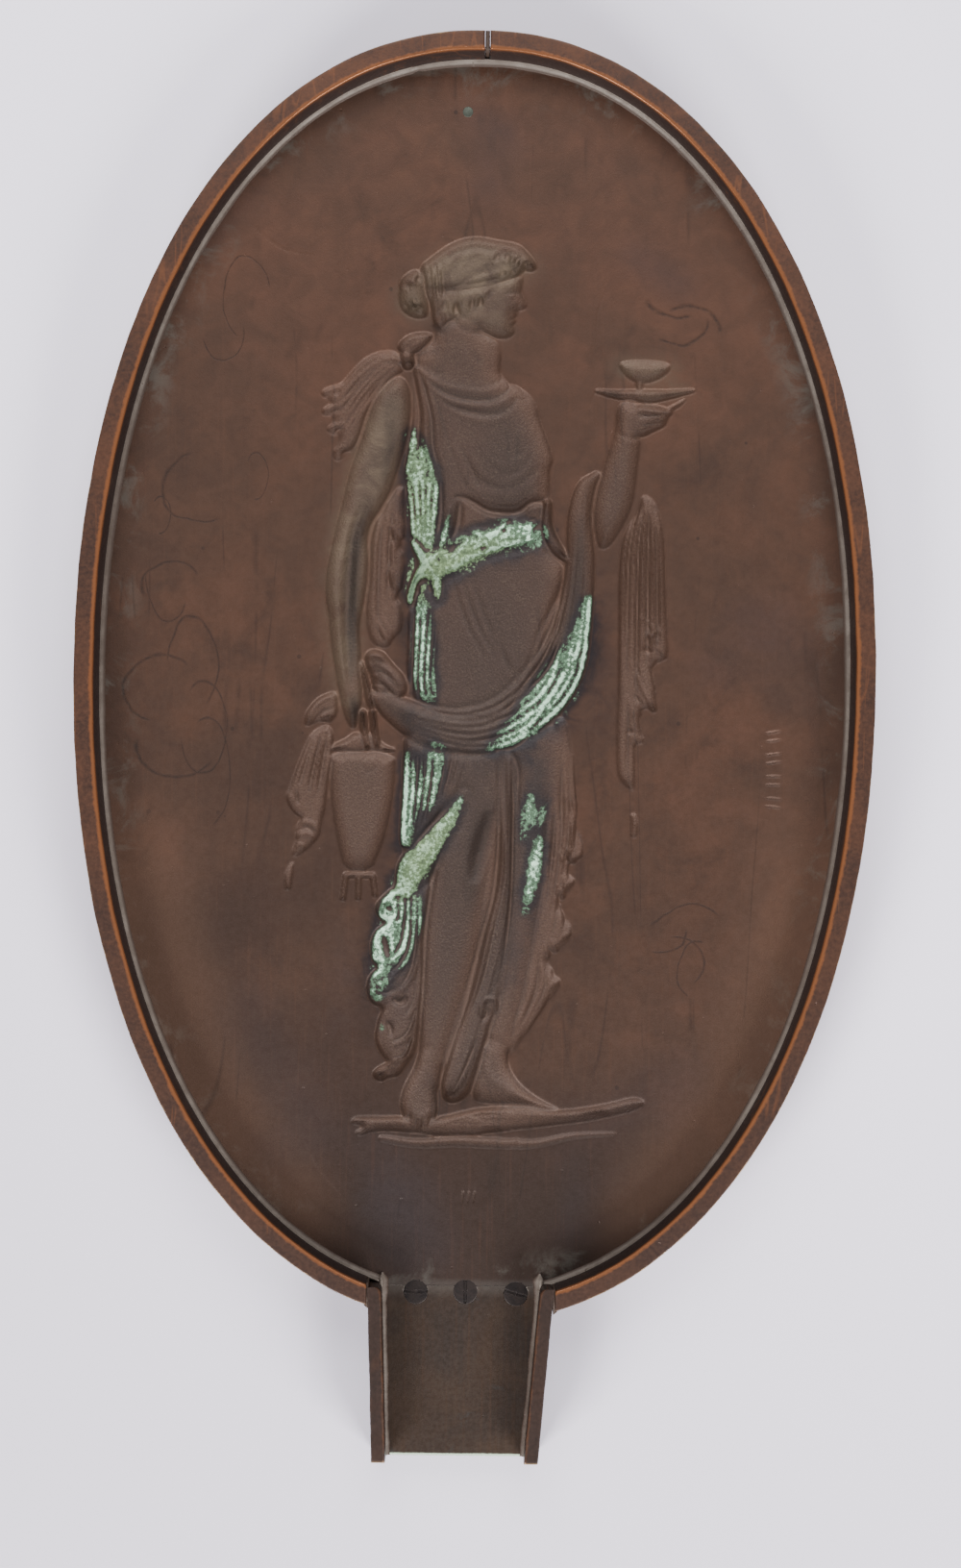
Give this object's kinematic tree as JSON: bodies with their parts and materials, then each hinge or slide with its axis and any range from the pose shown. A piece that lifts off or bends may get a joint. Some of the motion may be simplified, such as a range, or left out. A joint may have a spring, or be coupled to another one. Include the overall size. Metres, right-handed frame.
{
  "type": "relief plaque mould",
  "caption": "Oval bronze casting mould in a shallow dish with a bent rim and pouring spout, a draped standing figure sunk into its floor",
  "frame": {"origin": "middle of the footprint, on the surface that the mould lies on", "axes": "+Y along the oval towards the figure's head, +X to the figure's facing side, +Z out of the sunk face"},
  "size_m": [0.208, 0.3714, 0.019],
  "materials": {
    "mould_bronze": "dark brown patina with pale green verdigris in the deepest drapery",
    "rim_bronze": "brown with coppery worn edges",
    "spout_bronze": "dull dark brown",
    "screw_brass": "dulled slotted heads",
    "solder": "dull grey soft solder"
  },
  "bodies": {
    "root": {"mould_plate": "mould_bronze", "rim_band_left": "rim_bronze", "rim_band_right": "rim_bronze", "spout_floor": "spout_bronze", "spout_wall_left": "rim_bronze", "spout_wall_right": "rim_bronze", "screw_left": "screw_brass", "screw_middle": "screw_brass", "screw_right": "screw_brass", "plug_pin": "solder"}
  },
  "joints": []
}
